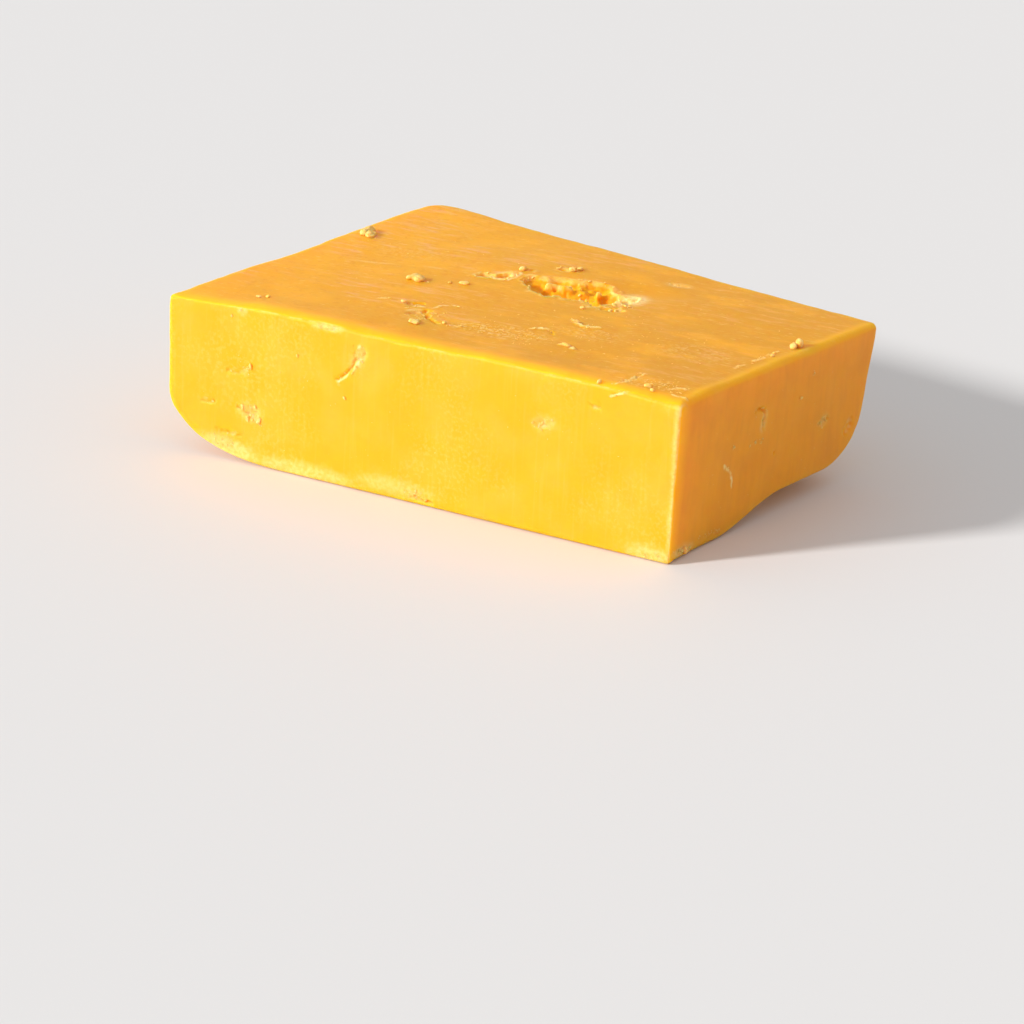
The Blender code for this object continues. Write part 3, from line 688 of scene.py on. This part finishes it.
def crumbTree():  # a lumpy ball on each point, of the point's own size and turn
    tree, given, result = nodeGroup("crumbScatter", crumbSizes)
    extent = addNode(tree, "GeometryNodeInputNamedAttribute", {
        "Name": "extent",
    }, data_type="FLOAT_VECTOR")
    turned = addNode(tree, "GeometryNodeInputNamedAttribute", {
        "Name": "turned",
    }, data_type="FLOAT_VECTOR")
    ball = addNode(tree, "GeometryNodeMeshIcoSphere", {
        "Radius": 0.5, "Subdivisions": given.outputs["Detail"],
    })
    rotation = addNode(tree, "FunctionNodeEulerToRotation", {0: turned.outputs[0]})
    placed = addNode(tree, "GeometryNodeInstanceOnPoints", {
        "Points": given.outputs["Geometry"], "Instance": ball.outputs[0],
        "Rotation": rotation.outputs[0], "Scale": extent.outputs[0],
    })
    real = addNode(tree, "GeometryNodeRealizeInstances", {"Geometry": placed.outputs[0]})
    size = addNode(tree, "ShaderNodeSeparateXYZ", {0: extent.outputs[0]})
    position = addNode(tree, "GeometryNodeInputPosition")
    often = addNode(tree, "ShaderNodeMath", {
        0: given.outputs["Lumps"], 1: size.outputs[1],
    }, operation="DIVIDE")
    counted = addNode(tree, "ShaderNodeVectorMath", {0: position.outputs[0], 1: often.outputs[0]},
                      operation="MULTIPLY")
    grain = addNode(tree, "ShaderNodeTexNoise", {
        "Vector": counted.outputs[0], "W": given.outputs["Seed"], "Scale": 1.0, "Detail": 2.5,
    }, noise_dimensions="4D")
    swing = addNode(tree, "ShaderNodeMath", {0: grain.outputs[0], 1: 0.5}, operation="SUBTRACT")
    reach = addNode(tree, "ShaderNodeMath", {0: size.outputs[1], 1: given.outputs["Roughness"]},
                    operation="MULTIPLY")
    push = addNode(tree, "ShaderNodeMath", {
        0: swing.outputs[0], 1: reach.outputs[0],
    }, operation="MULTIPLY")
    normal = addNode(tree, "GeometryNodeInputNormal")
    offset = addNode(tree, "ShaderNodeVectorMath", {0: normal.outputs[0], 1: push.outputs[0]},
                     operation="MULTIPLY")
    moved = addNode(tree, "GeometryNodeSetPosition", {
        "Geometry": real.outputs[0], "Offset": offset.outputs[0],
    })
    smooth = addNode(tree, "GeometryNodeSetShadeSmooth", {"Geometry": moved.outputs[0]})
    dressed = addNode(tree, "GeometryNodeSetMaterial", {
        "Geometry": smooth.outputs[0], "Material": given.outputs["Material"],
    })
    tree.links.new(dressed.outputs[0], result.inputs[0])
    return tree


def onFace(target, face, a, b):  # where a straight look at a face meets the cheese
    start, way = {
        "front": (Vector((a, -90, b)), Vector((0, 1, 0))),
        "right": (Vector((90, a, b)), Vector((-1, 0, 0))),
        "top": (Vector((a, b, 90)), Vector((0, 0, -1))),
    }[face]
    hit, place, normal, _ = target.ray_cast(start * mm, way, distance=0.2)
    return (place, normal) if hit and normal.dot(way) < -0.2 else (None, None)


def makeCrumbs(name, target, spots, detail, material):  # spots: face, a, b, size of three, turn
    places, extents, turns = [], [], []
    for face, a, b, size, turn in spots:
        place, normal = onFace(target, face, a, b)
        if place is None:
            continue
        extent = Vector(size) * mm
        spin = Matrix.Rotation(math.radians(turn), 4, "Z").to_quaternion()
        upright = normal.to_track_quat("Z", "X") @ spin
        places.append(place + normal * extent.z * (0.5 - crumbs["sunk"]))
        extents.append(extent)
        turns.append(Vector(upright.to_euler()))
    mesh = bpy.data.meshes.new(name)
    mesh.from_pydata(places, [], [])
    for mark, values in (("extent", extents), ("turned", turns)):
        mesh.attributes.new(mark, "FLOAT_VECTOR", "POINT").data.foreach_set("vector", np.ravel(values))
    obj = bpy.data.objects.new(name + "Draft", mesh)
    bpy.context.scene.collection.objects.link(obj)
    nodesModifier(obj, crumbTree(), {**crumbSizes, "Detail": float(detail), "Material": material})
    made = frozen(obj, name)
    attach(made, "root")
    print(name + ":", len(places), "crumbs,", len(made.data.polygons), "faces")


def scatterCrumbs(target, material):
    draw = np.random.default_rng(crumbs["seed"])
    large = [(face, a, b, size, turn) for face, a, b, *size, turn in crumbs["named"]]
    fine = []
    for face, a, b, length, width, turn, count, smallest, largest in crumbs["clusters"]:
        cos, sin = math.cos(math.radians(turn)), math.sin(math.radians(turn))
        for _ in range(count):
            angle, reach = draw.uniform(0, 2 * math.pi), draw.uniform() ** 0.6
            along, up = length * reach * math.cos(angle), width * reach * math.sin(angle)
            size = smallest + (largest - smallest) * draw.uniform() ** 2.2
            shape = size * draw.uniform((1.0, 0.5, 0.25), (1.8, 1.0, 0.55))
            fine.append((face, a + along * cos - up * sin, b + along * sin + up * cos,
                         shape, draw.uniform(0, 360)))
    for face, line, width, deep in strokes:
        often = crumbs["perLip"] * (1 if deep < -0.22 else crumbs["lowLipShare"])
        for (startA, startB), (endA, endB) in zip(line, line[1:]):
            for _ in range(round(often * math.hypot(endA - startA, endB - startB))):
                share, off = draw.uniform(), draw.normal(0, width * 0.7, 2)
                size = 0.15 + 0.55 * draw.uniform() ** 2
                a = startA + share * (endA - startA) + off[0]
                b = startB + share * (endB - startB) + off[1]
                fine.append((face, a, b, size * draw.uniform((1.0, 0.5, 0.3), (1.8, 1.0, 0.6)),
                             draw.uniform(0, 360)))
    tries = np.column_stack([draw.uniform(-24, 22, 6000), draw.uniform(-6, 24, 6000), np.zeros(6000)])
    onRim = tries[hollowDepth(tries)[1] > 0.75][:crumbs["onRim"]]
    for x, y, _ in onRim:
        size = 0.2 + 0.6 * draw.uniform() ** 2
        shape = size * draw.uniform((1.0, 0.7, 0.5), (1.5, 1.0, 0.8))
        fine.append(("top", x, y, shape, draw.uniform(0, 360)))
    makeCrumbs("largeCrumbs", target, large, crumbs["largeDetail"], material)
    makeCrumbs("fineCrumbs", target, fine, crumbs["fineDetail"], material)


cheese = {
    "fresh": "#F9AA1A",  # a new wire cut
    "skin": "#F2A41A",  # the top, dried and smeared
    "shade": "#E09718",  # painted shade: the top's skin painted darker towards the right
    "shadedFrom": (-75 * mm, 55 * mm),  # along x; the painted shade grows from left to right
    "moist": "#FDAE1C",  # places of the skin that stayed moist
    "knitDark": "#DE8214",  # short dark lines where the curds knit
    "curd": "#F8A618",  # torn curd inside the hollow
    "pale": "#FFDB92",  # bruised edges and floury crumble; along the edge crests it is a painted highlight line
    "bloom": "#F4AE6C",  # pinkish fat bloom in the smears
    "bloomFrom": (35 * mm, -30 * mm), "bloomShare": (0.3, 0.65),  # weaker to the right
    "side": "#F7A026",  # the shorter cut on the right; painted shade, a little darker and more orange, as that face lies in shade
    "sideDark": "#D8842A",
    "rim": "#FFB818",  # painted shade on the crests of the cut edges, a darker orange
    "edge": "#F09A14",  # the pressed edges of the cuts
    "flourShare": (0.45, 1.0),  # floury places are never quite even
    "smearTurn": 30,  # degrees that the top's smears lie off the front edge
    "scatter": 7.0 * mm,  # how far red light wanders in the fat
    "tornScatter": 0.16,  # the share of it in the dry torn curd
    "wander": (1.0, 0.47, 0.1), "tornWander": (1.0, 0.8, 0.4),  # its red, green and blue
    "roughness": 0.48, "gloss": 0.16,
    "fineBump": 0.45, "dragBump": (4.0, 0.5, 0.5), "bumpDepth": 0.1 * mm,  # first two in mm
}
# noise patterns: size along x, y and z in mm, whether turned with the smears, detail, start and full
patterns = {
    "mottle": ((11, 11, 11), False, 4, 0.4, 0.7), "streak": ((1.1, 1.1, 22), False, 3, 0.5, 0.75),
    "knit": ((0.9, 0.9, 0.9), False, 3, 0.45, 0.7), "knitArea": ((16, 16, 16), False, 3, 0.4, 0.65),
    "smear": ((7, 1.8, 1.8), True, 3, 0.48, 0.68), "smearArea": ((26, 14, 14), True, 3, 0.42, 0.62),
    "moistArea": ((14, 8, 8), True, 3, 0.45, 0.7), "fleck": ((2.6, 0.5, 0.5), True, 2, 0.6, 0.72),
    "dash": ((1.5, 1.5, 1.5), False, 3, 0.5, 0.72), "chatter": ((0.9, 0.9, 0.9), False, 2, 0.5, 0.62),
    "drawn": ((1.6, 1.6, 9), False, 5, 0.42, 0.72), "dryPatch": ((9, 9, 9), False, 3, 0.4, 0.7),
    "flour": ((0.9, 0.9, 0.9), False, 4, 0.3, 0.65), "broken": ((3.4, 3.4, 3.4), False, 5, 0.47, 0.6),
}
# colours laid over each other in this order: what is painted, with which colour, where, how strongly
layers = (
    ("cut", "pale", ("mottle",), 0.07), ("cut", "pale", ("streak",), 0.06),
    ("cut", "pale", ("knit", "knitArea"), 0.13),
    ("top", "moist", ("moistArea",), 0.45), ("top", "bloom", ("smear", "smearArea", "bloomPart"), 1.0),
    ("top", "pale", ("fleck",), 0.25), ("top", "knitDark", ("dash",), 0.28),
    ("top", "pale", ("chatter", "grain"), 0.4),
    ("cut", "top", ("skin",), 1.0),  # from here on the whole block
    # painted shade: the right face, which lies in shade, takes the side colour; its darker streaks and
    # patches are its own
    ("cut", "side", ("toRight",), 1.0), ("cut", "sideDark", ("toRight", "drawn"), 0.14),
    ("cut", "sideDark", ("toRight", "dryPatch"), 0.22), ("cut", "rim", ("glow",), 1.0),
    ("cut", "curd", ("torn",), 1.0), ("cut", "pale", ("pale", "flourPart"), 1.0),
    # painted shade on the edge crests, broken by a painted pale highlight line
    ("cut", "edge", ("crisp",), 0.55), ("cut", "pale", ("crisp", "broken"), 0.75),
)


def cheddarMaterial():  # pressed annatto cheddar: waxy, light glows a few millimetres into it
    material = bpy.data.materials.new("annattoCheddar")
    material.use_nodes = True
    tree = material.node_tree
    shader = tree.nodes["Principled BSDF"]
    place = addNode(tree, "ShaderNodeTexCoord").outputs["Object"]
    along = (0, 0, -math.radians(cheese["smearTurn"]))
    where = {}  # how much of each mark or pattern there is at a place
    for name in ("skin", "torn", "crisp", "pale", "glow", "grain"):
        where[name] = addNode(tree, "ShaderNodeAttribute", attribute_name=name).outputs["Fac"]
    for name, (size, turned, detail, low, high) in patterns.items():
        mapping = addNode(tree, "ShaderNodeMapping", {
            "Vector": place, "Rotation": along if turned else (0, 0, 0),
            "Scale": [1 / (length * mm) for length in size],
        })
        noisy = addNode(tree, "ShaderNodeTexNoise", {
            "Vector": mapping.outputs[0], "Scale": 1.0, "Detail": detail,
        })
        where[name] = addNode(tree, "ShaderNodeMapRange", {0: noisy.outputs[0], 1: low, 2: high},
                              interpolation_type="SMOOTHSTEP").outputs[0]

    acrossBlock = addNode(tree, "ShaderNodeSeparateXYZ", {0: place}).outputs[0]
    facing = addNode(tree, "ShaderNodeAttribute", attribute_name="facing").outputs["Vector"]
    facingRight = addNode(tree, "ShaderNodeSeparateXYZ", {0: facing}).outputs[0]
    for name, value, (low, high) in (
        ("toRight", facingRight, (0.55, 0.95)), ("shadeShare", acrossBlock, cheese["shadedFrom"]),
        ("bloomPart", acrossBlock, cheese["bloomFrom"]),
    ):
        where[name] = addNode(tree, "ShaderNodeMapRange", {0: value, 1: low, 2: high},
                              interpolation_type="SMOOTHSTEP").outputs[0]
    for name, share, (least, most) in (
        ("bloomPart", where["bloomPart"], cheese["bloomShare"]),
        ("flourPart", where["flour"], cheese["flourShare"]),
    ):
        where[name] = addNode(tree, "ShaderNodeMapRange", {0: share, 3: least, 4: most}).outputs[0]

    # the top's skin colour, with painted shade mixed in towards the right
    painted = {"cut": linear(cheese["fresh"]), "top": addNode(tree, "ShaderNodeMix", {
        0: where["shadeShare"], 6: linear(cheese["skin"]), 7: linear(cheese["shade"]),
    }, data_type="RGBA").outputs[2]}
    for part, colour, masks, amount in layers:
        for mask in masks:
            amount = addNode(tree, "ShaderNodeMath", {
                0: where[mask], 1: amount,
            }, operation="MULTIPLY").outputs[0]
        paint = painted[colour] if colour in painted else linear(cheese[colour])
        painted[part] = addNode(tree, "ShaderNodeMix", {0: amount, 6: painted[part], 7: paint},
                                data_type="RGBA").outputs[2]
    tree.links.new(painted["cut"], shader.inputs["Base Color"])

    fineScale = addNode(tree, "ShaderNodeMapping", {
        "Vector": place, "Scale": [1 / (cheese["fineBump"] * mm)] * 3,
    })
    dragScale = addNode(tree, "ShaderNodeMapping", {
        "Vector": place, "Rotation": along, "Scale": [1 / (length * mm) for length in cheese["dragBump"]],
    })
    fine = addNode(tree, "ShaderNodeTexNoise", {
        "Vector": fineScale.outputs[0], "Scale": 1.0, "Detail": 4.0,
    })
    drag = addNode(tree, "ShaderNodeTexNoise", {
        "Vector": dragScale.outputs[0], "Scale": 1.0, "Detail": 2.0,
    })
    height = addNode(tree, "ShaderNodeMath", {0: drag.outputs[0], 1: where["skin"], 2: fine.outputs[0]},
                     operation="MULTIPLY_ADD")
    bump = addNode(tree, "ShaderNodeBump", {
        "Strength": 0.35, "Distance": cheese["bumpDepth"], "Height": height.outputs[0],
    })
    tree.links.new(bump.outputs[0], shader.inputs["Normal"])

    dry = addNode(tree, "ShaderNodeMath", {0: where["torn"], 1: where["pale"]}, operation="MAXIMUM")
    dry = addNode(tree, "ShaderNodeMath", {0: dry.outputs[0], 1: where["crisp"]}, operation="MAXIMUM")
    scatter = addNode(tree, "ShaderNodeMapRange", {
        0: dry.outputs[0], 3: cheese["scatter"], 4: cheese["scatter"] * cheese["tornScatter"],
    })
    tree.links.new(scatter.outputs[0], shader.inputs["Subsurface Scale"])
    wander = addNode(tree, "ShaderNodeMix", {
        0: dry.outputs[0], 4: cheese["wander"], 5: cheese["tornWander"],
    }, data_type="VECTOR")
    tree.links.new(wander.outputs[1], shader.inputs["Subsurface Radius"])
    shader.inputs["Roughness"].default_value = cheese["roughness"]
    shader.inputs["IOR"].default_value = 1.46  # milk fat
    shader.inputs["Specular IOR Level"].default_value = cheese["gloss"]
    shader.inputs["Subsurface Weight"].default_value = 1.0
    return material


crumbLook = {
    "body": "#FFCA78", "dark": "#FFBC5C", "grainSize": 0.8 * mm, "bumpDepth": 0.1 * mm,
    "scatter": 0.5 * mm, "wander": (1.0, 0.6, 0.3), "roughness": 0.6, "gloss": 0.25,
}


def crumbMaterial():  # dry crumbs of the same curd, paler as air has got in
    material = bpy.data.materials.new("dryCheddarCurd")
    material.use_nodes = True
    tree = material.node_tree
    shader = tree.nodes["Principled BSDF"]
    place = addNode(tree, "ShaderNodeTexCoord").outputs["Object"]
    mapping = addNode(tree, "ShaderNodeMapping", {
        "Vector": place, "Scale": [1 / crumbLook["grainSize"]] * 3,
    })
    noisy = addNode(tree, "ShaderNodeTexNoise", {
        "Vector": mapping.outputs[0], "Scale": 1.0, "Detail": 4.0,
    })
    grain = addNode(tree, "ShaderNodeMapRange", {0: noisy.outputs[0], 1: 0.35, 2: 0.65},
                    interpolation_type="SMOOTHSTEP")
    colour = addNode(tree, "ShaderNodeMix", {
        0: grain.outputs[0], 6: linear(crumbLook["body"]), 7: linear(crumbLook["dark"]),
    }, data_type="RGBA")
    tree.links.new(colour.outputs[2], shader.inputs["Base Color"])
    bump = addNode(tree, "ShaderNodeBump", {
        "Strength": 0.4, "Distance": crumbLook["bumpDepth"], "Height": grain.outputs[0],
    })
    tree.links.new(bump.outputs[0], shader.inputs["Normal"])
    shader.inputs["Roughness"].default_value = crumbLook["roughness"]
    shader.inputs["IOR"].default_value = 1.46  # milk fat
    shader.inputs["Specular IOR Level"].default_value = crumbLook["gloss"]
    shader.inputs["Subsurface Weight"].default_value = 1.0
    shader.inputs["Subsurface Radius"].default_value = crumbLook["wander"]
    shader.inputs["Subsurface Scale"].default_value = crumbLook["scatter"]
    return material


# the setting: a plain pale floor, a low sun through haze from the front left, and a pale room

setting = {
    "floor": "#DFDDDB", "floorReach": 4.0, "floorDrop": -0.00015,
    "room": "#F3F3F5", "roomStrength": 0.7,
    "keyFrom": (-0.567, -0.735, 0.3665), "keyAngle": 7.0, "keyStrength": 4.12,
    "cameraAt": (0.3224, -0.6100, 0.2354),
    "cameraRight": (0.8704, 0.4901, 0.0467), "cameraUp": (-0.2072, 0.2787, 0.9378),
    "cameraForward": (-0.4466, 0.8259, -0.3442),
    "focalLength": 109.2,  # on a 36 mm wide sensor
}


def makeFloor():
    mesh = bpy.data.meshes.new("floor")
    reach, drop = setting["floorReach"], setting["floorDrop"]
    corners = [(x * reach, y * reach, drop) for x, y in ((-1, -1), (1, -1), (1, 1), (-1, 1))]
    mesh.from_pydata(corners, [], [(0, 1, 2, 3)])
    floor = bpy.data.objects.new("floor", mesh)
    bpy.context.scene.collection.objects.link(floor)
    material = bpy.data.materials.new("paleMatteBoard")  # a matte painted board, no pattern
    material.use_nodes = True
    shader = material.node_tree.nodes["Principled BSDF"]
    shader.inputs["Base Color"].default_value = linear(setting["floor"])
    shader.inputs["Roughness"].default_value = 0.7
    mesh.materials.append(material)


def makeLights():
    world = bpy.data.worlds.new("paleRoom")
    bpy.context.scene.world = world
    world.use_nodes = True
    background = world.node_tree.nodes["Background"]
    background.inputs[0].default_value = linear(setting["room"])
    background.inputs[1].default_value = setting["roomStrength"]
    lamp = bpy.data.lights.new("key", "SUN")
    lamp.angle = math.radians(setting["keyAngle"])
    lamp.energy = setting["keyStrength"]
    key = bpy.data.objects.new("key", lamp)
    key.rotation_euler = Vector(setting["keyFrom"]).to_track_quat("Z", "Y").to_euler()
    bpy.context.scene.collection.objects.link(key)


def makeCamera():
    lens = bpy.data.cameras.new("camera")
    lens.sensor_width = 36
    lens.lens = setting["focalLength"]
    lens.clip_start = 0.01
    camera = bpy.data.objects.new("camera", lens)
    bpy.context.scene.collection.objects.link(camera)
    right, up = Vector(setting["cameraRight"]), Vector(setting["cameraUp"])
    turn = Matrix((right, up, -Vector(setting["cameraForward"]))).transposed()
    camera.matrix_world = Matrix.Translation(setting["cameraAt"]) @ turn.to_4x4()
    bpy.context.scene.camera = camera
    bpy.context.scene.view_settings.view_transform = "Standard"


makeFloor()
makeLights()
makeCamera()
print("setting: floor, lights and camera")
scatterCrumbs(makeBlock(cheddarMaterial()), crumbMaterial())
